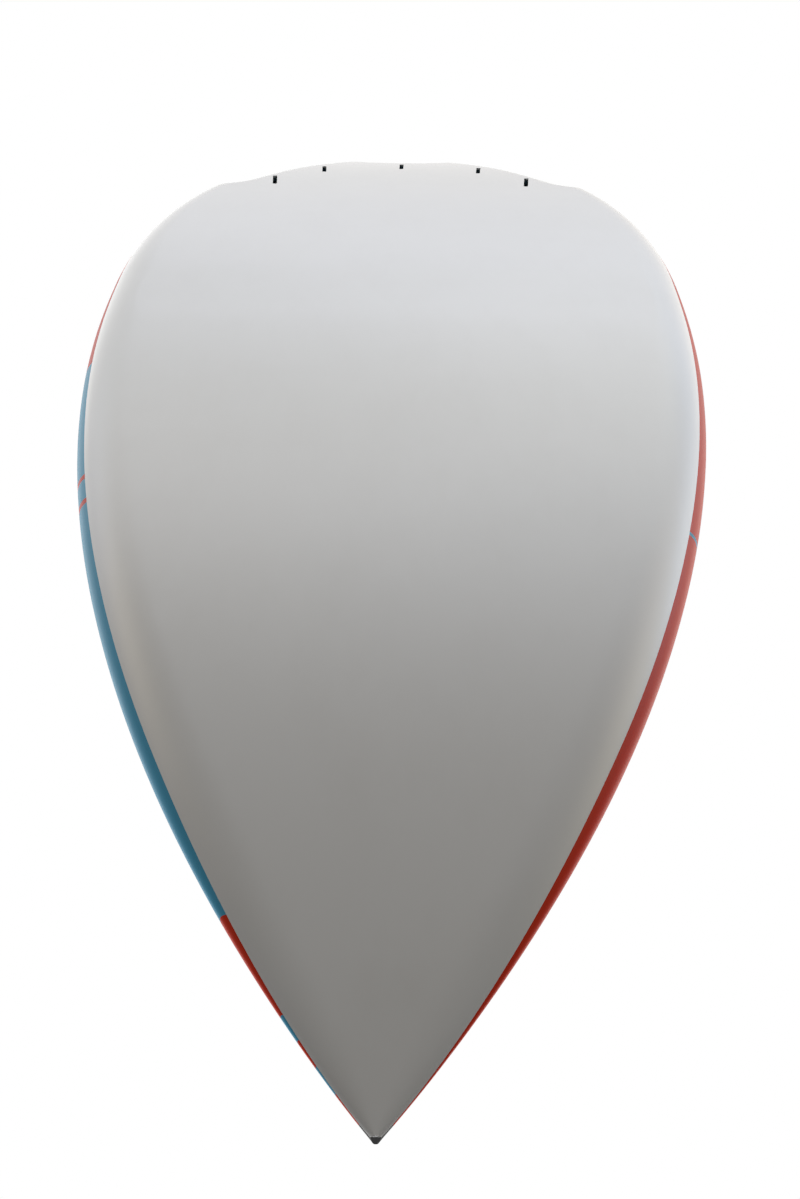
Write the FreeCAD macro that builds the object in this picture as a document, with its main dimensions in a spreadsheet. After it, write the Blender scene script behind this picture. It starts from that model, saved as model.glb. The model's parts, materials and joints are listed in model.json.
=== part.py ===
import FreeCAD, Part
import math
import os
import re
import Sketcher
from FreeCAD import Placement, Rotation, Vector

# A surf-style stand up paddleboard, in millimetres.
# +X points to the nose, +Y to port, +Z to the deck. The origin is at mid-length on the
# centreline, on the flat that the bottom rests on.

# Driving dimensions: each becomes one cell of the spreadsheet, with this name as its alias.
SIZES = {
    # hull
    "board_length": 2571,
    "board_width": 737,
    "board_thickness": 108,
    "wide_point_aft": 183,
    "thick_point_fore": 35.5,
    "rocker_low_aft": 84.5,
    "nose_blunt": 3.5,
    "nose_rocker": 281,
    "tail_rocker": 114.8,
    "rest_flat_drop": 1.0,
    "nose_end_thickness": 8,
    "tail_end_thickness": 26,
    "rail_roll": 58,
    "tail_roll": 26,
    "deck_roll": 95,
    "rail_apex_share": 0.36,
    "deck_crown": 10,
    "wing_from_tail": 460,
    "wing_half_width": 301.5,
    "wing_step": 28.7,
    "wing_fade": 27,
    "tail_tip_half_width": 97,
    "tail_rounding": 37,
    "swallow_depth": 45,
    "swallow_half_width": 84,
    # laminate and core
    "skin_wall": 3,
    "seam_height": 18.4,
    "nose_guard_length": 12,
    "nose_solid": 40,
    "stringer_wall": 6,
    "sandwich_wall": 4,
    "sandwich_front": 380,
    "sandwich_rear": -760,
    "sandwich_margin": 120,
    # fin boxes
    "slot_length": 109.5,
    "slot_width": 6.6,
    "slot_depth": 18,
    "box_end_wall": 8,
    "box_side_wall": 5,
    "box_floor": 3,
    "box_glue": 0.6,
    "flange_wall": 3,
    "flange_width": 26,
    "undercut_reach": 4,
    "undercut_lip": 6,
    "block_margin": 12,
    "block_cover": 6,
    "front_fin_from_tail": 400.5,
    "front_fin_half_gap": 197.6,
    "front_fin_toe": 3,
    "rear_fin_from_tail": 210.5,
    "rear_fin_half_gap": 127,
    "rear_fin_toe": 2,
    "centre_fin_from_tail": 141,
    "screw_diameter": 6.35,
    "screw_clearance": 0.075,
    "screw_length": 9,
    "screw_sink": 1.5,
    "screw_socket": 3.2,
    "screw_socket_depth": 4,
    "screw_overhang": 1.5,
    # carry handle
    "handle_aft": 60,
    "handle_length": 156,
    "handle_width": 96,
    "handle_depth": 42,
    "handle_wall": 3,
    "handle_corner": 18,
    "handle_lip": 9,
    "handle_lip_wall": 2.5,
    "handle_bar_width": 22,
    "handle_bar_height": 15,
    "handle_bar_drop": 3,
    "handle_block_margin": 18,
    # leash plug
    "leash_from_tail": 78,
    "leash_offset": 50,
    "leash_lip_diameter": 34,
    "leash_lip_wall": 2,
    "leash_cup_diameter": 27,
    "leash_bore_diameter": 21,
    "leash_bore_depth": 13,
    "leash_floor": 3,
    "leash_pin_diameter": 4,
    "leash_pin_depth": 4,
    "leash_pin_inset": 0.6,
    # air vent
    "vent_fore": 560,
    "vent_lip_diameter": 29,
    "vent_lip_wall": 2,
    "vent_body_diameter": 21,
    "vent_body_depth": 22,
    "vent_bore_diameter": 8,
    "vent_running_gap": 0.05,
    "vent_seat_diameter": 17,
    "vent_seat_depth": 3.6,
    "vent_cell_depth": 3,
    "vent_membrane_wall": 0.8,
    "vent_screw_length": 11,
    "vent_head_diameter": 16,
    "vent_head_wall": 2,
    "vent_slot_width": 1.6,
    "vent_slot_depth": 1,
    "vent_ring_section": 1.5,
    # grip pads
    "pad_wall": 5,
    "pad_gap": 6,
    "pad_margin": 96,
    "pad_front_end": 520,
    "pad_front_joint": 130,
    "pad_middle_joint": -440,
    "pad_rear_joint": -850,
    "pad_tail_end": -1120,
    "pad_tail_margin": 38,
    "pad_handle_gap": 10,
    "arch_half_width": 24,
    "arch_rise": 7,
    "kick_length": 54,
    "kick_rise": 24,
    "kick_half_width": 96,
}

# Shape exponents of the outline, rocker and foil: larger is flatter in the middle.
NOSE_CURVE = 2.46
NOSE_BLUNTNESS = 0.761
NOSE_POINT = 0.147
NOSE_POINT_REACH = 2.87
HIP_CURVE = 1.95
TAIL_CURVE = 4.6
NOSE_ROCKER_CURVE = 2.264
TAIL_ROCKER_CURVE = 1.958
NOSE_FOIL_CURVE = 2.3
TAIL_FOIL_CURVE = 2.4
TAIL_ROLL_CURVE = 0.7
ROLL_REACH = 70
DECK_ROLL_REACH = 110
ROUND = 0.56
CROWN_HANDLE = 0.4
BIG = 4000

doc = FreeCAD.newDocument("Paddleboard")
sheet = doc.addObject("Spreadsheet::Sheet", "Sizes")
for row, (alias, value) in enumerate(SIZES.items(), start=1):
    sheet.set(f"A{row}", alias)
    sheet.set(f"B{row}", str(value))
    sheet.setAlias(f"B{row}", alias)
doc.recompute()

pieces = []


def size(alias):
    """A driving dimension, read back from the spreadsheet."""
    return float(sheet.get(alias))


NOSE = size("board_length") / 2
TAIL = -NOSE
WING = TAIL + size("wing_from_tail")
WALL = size("skin_wall")


# ---------------------------------------------------------------- hull formulas

def half_width(x):
    """Half the board's width at station x."""
    widest = size("board_width") / 2
    wide = -size("wide_point_aft")
    if x >= wide:
        t = (x - wide) / (NOSE + size("nose_blunt") - wide)
        power = NOSE_BLUNTNESS + NOSE_POINT * t**NOSE_POINT_REACH
        return widest * (1 - t**NOSE_CURVE) ** power
    if x >= WING:
        t = (wide - x) / (wide - WING)
        return widest - (widest - size("wing_half_width")) * t**HIP_CURVE
    back = WING - x
    t = back / (WING - TAIL)
    inner = size("wing_half_width") - size("wing_step")
    straight = (inner - size("tail_tip_half_width") - size("tail_rounding")) * t
    step = size("wing_step") * math.exp(-back / size("wing_fade"))
    return inner - straight - size("tail_rounding") * t**TAIL_CURVE + step


def bottom_height(x):
    """Height of the bottom on the centreline: the rocker line."""
    low = -size("rocker_low_aft")
    if x >= low:
        rise = size("nose_rocker") * ((x - low) / (NOSE - low)) ** NOSE_ROCKER_CURVE
    else:
        rise = size("tail_rocker") * ((low - x) / (low - TAIL)) ** TAIL_ROCKER_CURVE
    return rise - size("rest_flat_drop")


def thickness(x):
    """The foil: thickness on the centreline."""
    middle = size("thick_point_fore")
    full = size("board_thickness")
    if x >= middle:
        end = size("nose_end_thickness")
        t = (x - middle) / (NOSE - middle)
        return end + (full - end) * (1 - t**NOSE_FOIL_CURVE)
    end = size("tail_end_thickness")
    t = (middle - x) / (middle - TAIL)
    return end + (full - end) * (1 - t**TAIL_FOIL_CURVE)


def deck_height(x):
    return bottom_height(x) + thickness(x)


def slope_angle(height, x):
    """Degrees that turn a level piece about Y until it lies along a height line."""
    step = 1.0
    rise = height(x + step) - height(x - step)
    return -math.degrees(math.atan2(rise, 2 * step))


def curve(*poles):
    bezier = Part.BezierCurve()
    bezier.setPoles(list(poles))
    return bezier.toBSpline().toShape()


def rail_roll(x):
    """How wide the bottom's roll into the rail is: tighter towards the tail."""
    wide = -size("wide_point_aft")
    share = max(0, (wide - x) / (wide - TAIL)) ** TAIL_ROLL_CURVE
    return size("rail_roll") + (size("tail_roll") - size("rail_roll")) * share


def section(x, inset):
    """The hull's closed outline across station x, moved inwards by inset."""
    side = half_width(x) - inset
    low = bottom_height(x) + inset
    high = deck_height(x) - inset
    roll = rail_roll(x) * (1 - math.exp(-side / ROLL_REACH))
    deck_roll = size("deck_roll") * (1 - math.exp(-side / DECK_ROLL_REACH))
    apex = low + size("rail_apex_share") * (high - low)
    crown = size("deck_crown") * (2 * side / size("board_width")) ** 2
    shoulder = side - deck_roll
    edge = high - crown
    rise = crown / 0.75
    tilt = rise / ((1 - CROWN_HANDLE) * shoulder)
    reach = ROUND * deck_roll

    def point(y, z):
        return Vector(x, y, z)

    def rail(sign):
        lower = curve(
            point(sign * (side - roll), low),
            point(sign * (side - roll * (1 - ROUND)), low),
            point(sign * side, apex - ROUND * (apex - low)),
            point(sign * side, apex),
        )
        upper = curve(
            point(sign * side, apex),
            point(sign * side, apex + ROUND * (edge - apex)),
            point(sign * (shoulder + reach), edge - tilt * reach),
            point(sign * shoulder, edge),
        )
        return lower, upper

    bottom = curve(
        point(roll - side, low),
        point((roll - side) / 3, low),
        point((side - roll) / 3, low),
        point(side - roll, low),
    )
    deck = curve(
        point(shoulder, edge),
        point(CROWN_HANDLE * shoulder, edge + rise),
        point(-CROWN_HANDLE * shoulder, edge + rise),
        point(-shoulder, edge),
    )
    lower_port, upper_port = rail(1)
    lower_starboard, upper_starboard = rail(-1)
    edges = [bottom, lower_port, upper_port, deck, upper_starboard, lower_starboard]
    return Part.Wire(edges)


def spread(start, end, count, power):
    """Stations from start to end, closer together at start when power is over 1."""
    return [start + (end - start) * (i / count) ** power for i in range(count + 1)]


def rest_plane_cut(solid):
    """Trims a hull to the flat that the board rests on."""
    below = Part.makeBox(BIG, BIG, BIG, Vector(-BIG / 2, -BIG / 2, -BIG))
    return solid.cut(below)


def hull(inset, nose_gap):
    """The board's whole outer form, moved inwards by inset on every side."""
    nose = NOSE - nose_gap
    tail = TAIL + inset
    ahead = [section(x, inset) for x in spread(nose, WING, 26, 1.7)]
    behind = [section(x, inset) for x in spread(WING, tail, 16, 1.5)]
    solid = Part.makeLoft(ahead, True).fuse(Part.makeLoft(behind, True))
    chord = size("swallow_half_width")
    depth = size("swallow_depth")
    radius = (chord**2 + depth**2) / (2 * depth)
    centre = Vector(TAIL + depth - radius, 0, -BIG / 2)
    notch = Part.makeCylinder(radius + inset, BIG, centre)
    return solid.cut(notch).Solids[0]


def lower_part(share):
    """Everything below a line at one share of the board's thickness."""
    wires = []
    for x in spread(NOSE + 10, TAIL - 10, 24, 1.0):
        inside = min(max(x, TAIL), NOSE)
        top = bottom_height(inside) + share * thickness(inside)
        half = BIG / 4
        corners = [(-half, -half), (half, -half), (half, top), (-half, top)]
        points = [Vector(x, y, z) for y, z in corners]
        wires.append(Part.makePolygon(points + points[:1]))
    return Part.makeLoft(wires, True)


def slab(x_low, x_high, y_low, y_high):
    """A tall block over one rectangle of the plan."""
    corner = Vector(x_low, y_low, -BIG / 2)
    return Part.makeBox(x_high - x_low, y_high - y_low, BIG, corner)


def plan_prism(x_front, x_rear, margin, inner):
    """A tall prism from inner to the outline less margin, on the port side."""
    stations = spread(x_front, x_rear, 8, 1.0)
    outline = Part.BSplineCurve()
    outline.interpolate([Vector(x, half_width(x) - margin, 0) for x in stations])
    front = outline.value(outline.FirstParameter)
    rear = outline.value(outline.LastParameter)
    inner_front = Vector(x_front, inner, 0)
    inner_rear = Vector(x_rear, inner, 0)
    wire = Part.Wire([
        outline.toShape(),
        Part.makeLine(rear, inner_rear),
        Part.makeLine(inner_rear, inner_front),
        Part.makeLine(inner_front, front),
    ])
    face = Part.Face(wire)
    prism = face.extrude(Vector(0, 0, BIG))
    prism.translate(Vector(0, 0, -BIG / 2))
    return prism


def mirrored(shape):
    return shape.mirror(Vector(0, 0, 0), Vector(0, 1, 0))


# ---------------------------------------------------------------- document helpers

def keep(item, label):
    """Marks a document object as one sub-part, exported under its label."""
    item.Label = label
    pieces.append(item)
    return item


def feature(label, shape):
    """A sub-part whose shape comes from the hull formulas."""
    item = doc.addObject("Part::Feature", label)
    item.Shape = shape.Solids[0] if len(shape.Solids) == 1 else shape
    return keep(item, label)


def new_body(label):
    body = doc.addObject("PartDesign::Body", label)
    return keep(body, label)


def new_sketch(body, name, role):
    """A sketch on one of the body's own origin planes."""
    plane = [f for f in body.Origin.OriginFeatures if f.Role == role][0]
    sketch = body.newObject("Sketcher::SketchObject", name)
    sketch.AttachmentSupport = [(plane, "")]
    sketch.MapMode = "FlatFace"
    return sketch


def polygon(sketch, corners):
    """A closed polygon whose corners are (across, up) pairs of spreadsheet expressions."""
    places = [(sheet_value(across), sheet_value(up)) for across, up in corners]
    count = len(corners)
    for i in range(count):
        start = Vector(*places[i], 0)
        end = Vector(*places[(i + 1) % count], 0)
        sketch.addGeometry(Part.LineSegment(start, end), False)
    for i in range(count):
        sketch.addConstraint(Sketcher.Constraint("Coincident", i, 2, (i + 1) % count, 1))
    for i, pair in enumerate(corners):
        for kind, axis, expression, value in (
            ("DistanceX", -2, pair[0], places[i][0]),
            ("DistanceY", -1, pair[1], places[i][1]),
        ):
            if expression == "0":
                sketch.addConstraint(Sketcher.Constraint("PointOnObject", i, 1, axis))
                continue
            index = sketch.addConstraint(Sketcher.Constraint(kind, -1, 1, i, 1, value))
            sketch.setExpression(f"Constraints[{index}]", dotted(expression))


def circle(sketch, across, diameter):
    """A circle on the sketch's horizontal axis."""
    centre = Vector(sheet_value(across), 0, 0)
    radius = sheet_value(diameter) / 2
    index = sketch.addGeometry(Part.Circle(centre, Vector(0, 0, 1), radius), False)
    sketch.addConstraint(Sketcher.Constraint("PointOnObject", index, 3, -1))
    if across == "0":
        sketch.addConstraint(Sketcher.Constraint("PointOnObject", index, 3, -2))
    else:
        place = Sketcher.Constraint("DistanceX", -1, 1, index, 3, centre.x)
        sketch.setExpression(f"Constraints[{sketch.addConstraint(place)}]", dotted(across))
    width = Sketcher.Constraint("Diameter", index, 2 * radius)
    sketch.setExpression(f"Constraints[{sketch.addConstraint(width)}]", dotted(diameter))


def dotted(expression):
    """An expression of aliases as FreeCAD reads it, each one a cell of the spreadsheet."""

    def cell(match):
        word = match.group()
        return f"Sizes.{word}" if word in SIZES else word

    return re.sub(r"[a-z_]+", cell, expression)


def sheet_value(expression):
    """The number an expression of aliases gives now, worked out by FreeCAD."""
    return float(sheet.evalExpression(dotted(expression)))


def pad(body, sketch, length, reverse=False):
    item = body.newObject("PartDesign::Pad", f"{sketch.Name}_pad")
    item.Profile = sketch
    item.Reversed = reverse
    item.setExpression("Length", dotted(length))
    sketch.Visibility = False
    return item


def pocket(body, sketch, length, reverse=False, both_ways=False):
    item = body.newObject("PartDesign::Pocket", f"{sketch.Name}_pocket")
    item.Profile = sketch
    item.Reversed = reverse
    item.Midplane = both_ways
    item.setExpression("Length", dotted(length))
    sketch.Visibility = False
    return item


def revolve(body, sketch):
    item = body.newObject("PartDesign::Revolution", f"{sketch.Name}_turn")
    item.Profile = sketch
    item.ReferenceAxis = (sketch, ["V_Axis"])
    item.Angle = 360
    return item


def local_copy(body_shape, placement):
    """A finished shape moved to its place on the board."""
    moved = body_shape.copy()
    moved.Placement = placement.multiply(moved.Placement)
    return moved


def hull_cut(label, shape, tools):
    """A laminate or core piece with the seats of its fittings cut out."""
    for tool in tools:
        shape = shape.cut(tool)
    return feature(label, shape)


# ---------------------------------------------------------------- places on the board

def fin_places():
    """Name and placement of each fin box: origin on the bottom, X along the slot, Z inwards."""
    rows = [
        ("front_port", "front", 1),
        ("front_starboard", "front", -1),
        ("rear_port", "rear", 1),
        ("rear_starboard", "rear", -1),
    ]
    places = []
    for name, pair, side in rows:
        x = TAIL + size(f"{pair}_fin_from_tail")
        y = side * size(f"{pair}_fin_half_gap")
        toe = Rotation(Vector(0, 0, 1), -side * size(f"{pair}_fin_toe"))
        places.append((name, x, y, toe))
    places.append(("centre", TAIL + size("centre_fin_from_tail"), 0, Rotation()))
    return [(name, fin_placement(x, y, toe)) for name, x, y, toe in places]


def fin_placement(x, y, toe):
    pitch = Rotation(Vector(0, 1, 0), slope_angle(bottom_height, x))
    return Placement(Vector(x, y, bottom_height(x)), toe.multiply(pitch))


def deck_placement(x, y):
    """Origin on the deck surface at (x, y), Z out of the deck."""
    probe = Part.makeLine(Vector(x, y, -BIG / 4), Vector(x, y, BIG / 4))
    height = max(v.Z for v in outer.common(probe).Vertexes)
    pitch = Rotation(Vector(0, 1, 0), slope_angle(deck_height, x))
    return Placement(Vector(x, y, height), pitch)


# ---------------------------------------------------------------- fin boxes

def fin_box(name, placement):
    """A moulded box under the bottom laminate, open at the slot and the screw's bore.

    Its flange is sanded off where the rail rises through it.
    """
    body = doc.addObject("PartDesign::Body", f"moulded_box_{name}")
    flange = new_sketch(body, f"flange_{name}", "XY_Plane")
    half_long = "slot_length / 2 + box_end_wall"
    rectangle(flange, half_long, "flange_width / 2")
    flange.setExpression("AttachmentOffset.Base.z", dotted("skin_wall + box_glue"))
    pad(body, flange, "flange_wall")
    shaft = new_sketch(body, f"shaft_{name}", "XY_Plane")
    rectangle(shaft, half_long, "slot_width / 2 + box_side_wall")
    shaft.setExpression("AttachmentOffset.Base.z", dotted("skin_wall + box_glue"))
    pad(body, shaft, "slot_depth + box_floor - skin_wall - box_glue")
    slot = new_sketch(body, f"slot_{name}", "XY_Plane")
    rectangle(slot, "slot_length / 2", "slot_width / 2")
    pocket(body, slot, "slot_depth", reverse=True)
    undercut = new_sketch(body, f"undercut_{name}", "XZ_Plane")
    rear = "-slot_length / 2"
    lip = "skin_wall + undercut_lip"
    corners = [
        (rear, lip),
        (f"{rear} - undercut_reach", lip),
        (f"{rear} - undercut_reach", "slot_depth"),
        (rear, "slot_depth"),
    ]
    polygon(undercut, corners)
    pocket(body, undercut, "slot_width", both_ways=True)
    bore = new_sketch(body, f"bore_{name}", "XY_Plane")
    circle(bore, "slot_length / 2 + screw_overhang", "screw_diameter + 2 * screw_clearance")
    pocket(body, bore, "slot_depth", reverse=True)
    body.Placement = placement
    doc.recompute()
    return feature(f"fin_box_{name}", body.Shape.common(inner))


def rectangle(sketch, half_long, half_wide):
    """A rectangle centred on the sketch's origin."""
    corners = [
        (f"-({half_long})", f"-({half_wide})"),
        (half_long, f"-({half_wide})"),
        (half_long, half_wide),
        (f"-({half_long})", half_wide),
    ]
    polygon(sketch, corners)


def slot_opening(placement):
    """The space over a fin box that the laminate leaves open: the slot and the bore."""
    length = size("slot_length")
    width = size("slot_width")
    depth = size("slot_depth")
    slot = Part.makeBox(length, width, 2 * depth, Vector(-length / 2, -width / 2, -depth))
    radius = size("screw_diameter") / 2 + size("screw_clearance")
    centre = Vector(length / 2 + size("screw_overhang"), 0, -depth)
    bore = Part.makeCylinder(radius, 2 * depth, centre)
    return local_copy(slot.fuse(bore), placement)


def fin_box_solid(placement):
    """The seat of a fin box in its foam block, open towards the bottom laminate."""
    half_long = size("slot_length") / 2 + size("box_end_wall")
    flange = size("flange_width")
    flange_top = WALL + size("box_glue") + size("flange_wall")
    shaft = size("slot_width") + 2 * size("box_side_wall")
    deep = size("slot_depth") + size("box_floor")
    wide = Part.makeBox(2 * half_long, flange, flange_top, Vector(-half_long, -flange / 2, 0))
    narrow = Part.makeBox(2 * half_long, shaft, deep, Vector(-half_long, -shaft / 2, 0))
    return local_copy(wide.fuse(narrow), placement)


def fin_block_solid(placement):
    """The dense foam block around a fin box, before it is trimmed to the hull."""
    margin = size("block_margin")
    half_long = size("slot_length") / 2 + size("box_end_wall") + margin
    half_wide = size("flange_width") / 2 + margin
    top = size("slot_depth") + size("box_floor") + size("block_cover")
    corner = Vector(-half_long, -half_wide, -margin)
    return local_copy(Part.makeBox(2 * half_long, 2 * half_wide, top + margin, corner), placement)


def grub_screw(name, placement):
    """A hex socket grub screw in the bore at the front of a fin slot."""
    screw = doc.addObject("Part::Cylinder", f"screw_blank_{name}")
    screw.setExpression("Radius", dotted("screw_diameter / 2"))
    screw.setExpression("Height", dotted("screw_length"))
    socket = doc.addObject("Part::Prism", f"screw_hex_{name}")
    socket.Polygon = 6
    socket.setExpression("Circumradius", dotted("screw_socket / sqrt(3)"))
    socket.setExpression("Height", dotted("screw_socket_depth"))
    cut = doc.addObject("Part::Cut", f"screw_{name}")
    cut.Base = screw
    cut.Tool = socket
    seat = Vector(
        size("slot_length") / 2 + size("screw_overhang"), 0, WALL + size("screw_sink")
    )
    cut.Placement = placement.multiply(Placement(seat, Rotation()))
    return keep(cut, f"grub_screw_{name}")


# ---------------------------------------------------------------- carry handle

def rounded_block(label, length, width, height, corner):
    """A block with rounded upright corners, centred on its origin, its foot at z = 0."""
    block = doc.addObject("Part::Box", f"{label}_block")
    block.setExpression("Length", dotted(length))
    block.setExpression("Width", dotted(width))
    block.setExpression("Height", dotted(height))
    block.setExpression("Placement.Base.x", dotted(f"-({length}) / 2"))
    block.setExpression("Placement.Base.y", dotted(f"-({width}) / 2"))
    doc.recompute()
    upright = [
        (number, sheet_value(corner), sheet_value(corner))
        for number, edge in enumerate(block.Shape.Edges, start=1)
        if abs(edge.Vertexes[0].Z - edge.Vertexes[-1].Z) > 0.5 * block.Height.Value
    ]
    rounded = doc.addObject("Part::Fillet", label)
    rounded.Base = block
    rounded.Edges = upright
    doc.recompute()
    return rounded.Shape.copy()


def handle_cup():
    """A recessed cup whose lip lies on the deck laminate, with two seats for the bar."""
    wall = size("handle_wall")
    depth = size("handle_depth")
    shell = rounded_block(
        "handle_shell", "handle_length", "handle_width", "handle_depth", "handle_corner"
    )
    lip = rounded_block(
        "handle_rim",
        "handle_length + 2 * handle_lip",
        "handle_width + 2 * handle_lip",
        "handle_lip_wall",
        "handle_corner + handle_lip",
    )
    space = rounded_block(
        "handle_space",
        "handle_length - 2 * handle_wall",
        "handle_width - 2 * handle_wall",
        "handle_depth + handle_lip_wall",
        "handle_corner - handle_wall",
    )
    shell.translate(Vector(0, 0, -depth))
    space.translate(Vector(0, 0, wall - depth))
    cup = shell.fuse(lip).cut(space).removeSplitter()
    return cup, shell.fuse(lip)


def handle_bar_shape():
    """A rounded bar along the cup, from end wall to end wall."""
    length = size("handle_length") - 2 * size("handle_wall")
    bar = doc.addObject("Part::Box", "handle_bar_blank")
    bar.setExpression("Length", dotted("handle_length - 2 * handle_wall"))
    bar.setExpression("Width", dotted("handle_bar_width"))
    bar.setExpression("Height", dotted("handle_bar_height"))
    bar.setExpression("Placement.Base.x", dotted("handle_wall - handle_length / 2"))
    bar.setExpression("Placement.Base.y", dotted("-handle_bar_width / 2"))
    bar.setExpression("Placement.Base.z", dotted("-handle_bar_drop - handle_bar_height"))
    doc.recompute()
    lengthways = [
        (number, size("handle_bar_height") / 3, size("handle_bar_height") / 3)
        for number, edge in enumerate(bar.Shape.Edges, start=1)
        if abs(edge.Vertexes[0].X - edge.Vertexes[-1].X) > length / 2
    ]
    rounded = doc.addObject("Part::Fillet", "handle_bar_rounded")
    rounded.Base = bar
    rounded.Edges = lengthways
    return rounded


# ---------------------------------------------------------------- turned fittings

def turned(label, profile, placement):
    """A round piece: a half profile turned about its own Z axis."""
    body = new_body(label)
    outline = new_sketch(body, f"{label}_profile", "XZ_Plane")
    polygon(outline, profile)
    revolve(body, outline)
    body.Placement = placement
    return body


def leash_plug(placement):
    """A round cup let into the deck, with a steel pin across it for the leash."""
    cup = turned(
        "leash_plug_cup",
        [
            ("leash_bore_diameter / 2", "leash_lip_wall"),
            ("leash_lip_diameter / 2", "leash_lip_wall"),
            ("leash_lip_diameter / 2", "0"),
            ("leash_cup_diameter / 2", "0"),
            ("leash_cup_diameter / 2", "-leash_bore_depth - leash_floor"),
            ("0", "-leash_bore_depth - leash_floor"),
            ("0", "-leash_bore_depth"),
            ("leash_bore_diameter / 2", "-leash_bore_depth"),
        ],
        placement,
    )
    bore = new_sketch(cup, "leash_pin_bore", "XZ_Plane")
    bore.setExpression("AttachmentOffset.Base.y", dotted("-leash_pin_depth"))
    circle(bore, "0", "leash_pin_diameter")
    pocket(cup, bore, "leash_cup_diameter", both_ways=True)
    pin = doc.addObject("Part::Cylinder", "leash_pin_rod")
    pin.setExpression("Radius", dotted("leash_pin_diameter / 2"))
    pin.setExpression("Height", dotted("leash_cup_diameter - 2 * leash_pin_inset"))
    reach = size("leash_cup_diameter") / 2 - size("leash_pin_inset")
    start = Vector(0, reach, -size("leash_pin_depth"))
    lying = Placement(start, Rotation(Vector(1, 0, 0), 90))
    pin.Placement = placement.multiply(lying)
    keep(pin, "leash_plug_pin")
    return cup


def air_vent(placement):
    """A threaded insert with a breathing membrane, closed by a screw and its seal ring."""
    bore = "vent_bore_diameter / 2"
    insert = turned(
        "vent_body",
        [
            ("vent_seat_diameter / 2", "vent_lip_wall"),
            ("vent_lip_diameter / 2", "vent_lip_wall"),
            ("vent_lip_diameter / 2", "0"),
            ("vent_body_diameter / 2", "0"),
            ("vent_body_diameter / 2", "-vent_body_depth"),
            (bore, "-vent_body_depth"),
            (bore, "vent_lip_wall - vent_seat_depth"),
            ("vent_seat_diameter / 2", "vent_lip_wall - vent_seat_depth"),
        ],
        placement,
    )
    membrane = doc.addObject("Part::Cylinder", "vent_disc")
    membrane.setExpression("Radius", dotted(bore))
    membrane.setExpression("Height", dotted("vent_membrane_wall"))
    low = Placement(Vector(0, 0, -size("vent_body_depth") + size("vent_cell_depth")), Rotation())
    membrane.Placement = placement.multiply(low)
    keep(membrane, "vent_membrane")
    seat = "vent_lip_wall - vent_seat_depth"
    shank = "vent_bore_diameter / 2 - vent_running_gap"
    head = "vent_head_diameter / 2"
    under = f"{seat} + vent_ring_section"
    screw = turned(
        "vent_screw",
        [
            ("0", f"{seat} - vent_screw_length"),
            (shank, f"{seat} - vent_screw_length"),
            (shank, under),
            (head, under),
            (head, f"{under} + vent_head_wall"),
            ("0", f"{under} + vent_head_wall"),
        ],
        placement,
    )
    slot = new_sketch(screw, "vent_screw_slot", "XZ_Plane")
    half = "vent_slot_width / 2"
    polygon(slot, [
        (f"-{half}", f"{under} + vent_head_wall - vent_slot_depth"),
        (half, f"{under} + vent_head_wall - vent_slot_depth"),
        (half, f"{under} + vent_head_wall + vent_slot_depth"),
        (f"-{half}", f"{under} + vent_head_wall + vent_slot_depth"),
    ])
    pocket(screw, slot, "vent_head_diameter * 2", both_ways=True)
    ring = turned(
        "vent_o_ring",
        [
            (f"{shank} + vent_running_gap", seat),
            (f"{shank} + vent_running_gap + 2 * vent_ring_section", seat),
            (f"{shank} + vent_running_gap + 2 * vent_ring_section", under),
            (f"{shank} + vent_running_gap", under),
        ],
        placement,
    )
    return insert, screw, ring


# ---------------------------------------------------------------- room for the fittings

def centred_box(length, width, low, high):
    return Part.makeBox(length, width, high - low, Vector(-length / 2, -width / 2, low))


def round_seat(body_diameter, lip_diameter, depth, placement):
    """The room a round deck fitting needs: its body in the hull and its lip on the deck."""
    above = size("board_thickness")
    body = Part.makeCylinder(size(body_diameter) / 2, depth + above, Vector(0, 0, -depth))
    lip = Part.makeCylinder(size(lip_diameter) / 2, above)
    return local_copy(body.fuse(lip), placement)


def kick_wedge():
    """A ramp that rises towards the tail, reaching down into the deck."""
    front = size("pad_tail_end") - size("pad_gap")
    rear = front - size("kick_length")
    low = deck_height(rear) - size("board_thickness")
    top_front = deck_height(front) + size("pad_wall")
    top_rear = deck_height(rear) + size("pad_wall") + size("kick_rise")
    half = size("kick_half_width")
    hollow = Part.BezierCurve()
    hollow.setPoles([
        Vector(front, -half, top_front),
        Vector(front - size("kick_length") / 2, -half, top_front),
        Vector(rear, -half, top_rear),
    ])
    foot = [Vector(rear, -half, low), Vector(front, -half, low)]
    wire = Part.Wire([
        hollow.toShape(),
        Part.makeLine(Vector(rear, -half, top_rear), foot[0]),
        Part.makeLine(foot[0], foot[1]),
        Part.makeLine(foot[1], Vector(front, -half, top_front)),
    ])
    return Part.Face(wire).extrude(Vector(0, 2 * half, 0))


# ---------------------------------------------------------------- build: hull

sandwich_inset = WALL + size("sandwich_wall")
outer = rest_plane_cut(hull(0, 0))
inner = hull(WALL, size("nose_solid"))
under_sandwich = hull(sandwich_inset, size("nose_solid") + size("sandwich_wall"))
shell = outer.cut(inner)
below_seam = lower_part(size("seam_height") / size("board_thickness"))
below_middle = lower_part(0.5)

fins = fin_places()
slots = [slot_opening(place) for name, place in fins]
box_seats = [fin_box_solid(place) for name, place in fins]
fin_blocks = [fin_block_solid(place).common(inner) for name, place in fins]

handle_at = deck_placement(-size("handle_aft"), 0)
leash_at = deck_placement(TAIL + size("leash_from_tail"), size("leash_offset"))
vent_at = deck_placement(size("vent_fore"), 0)

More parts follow.
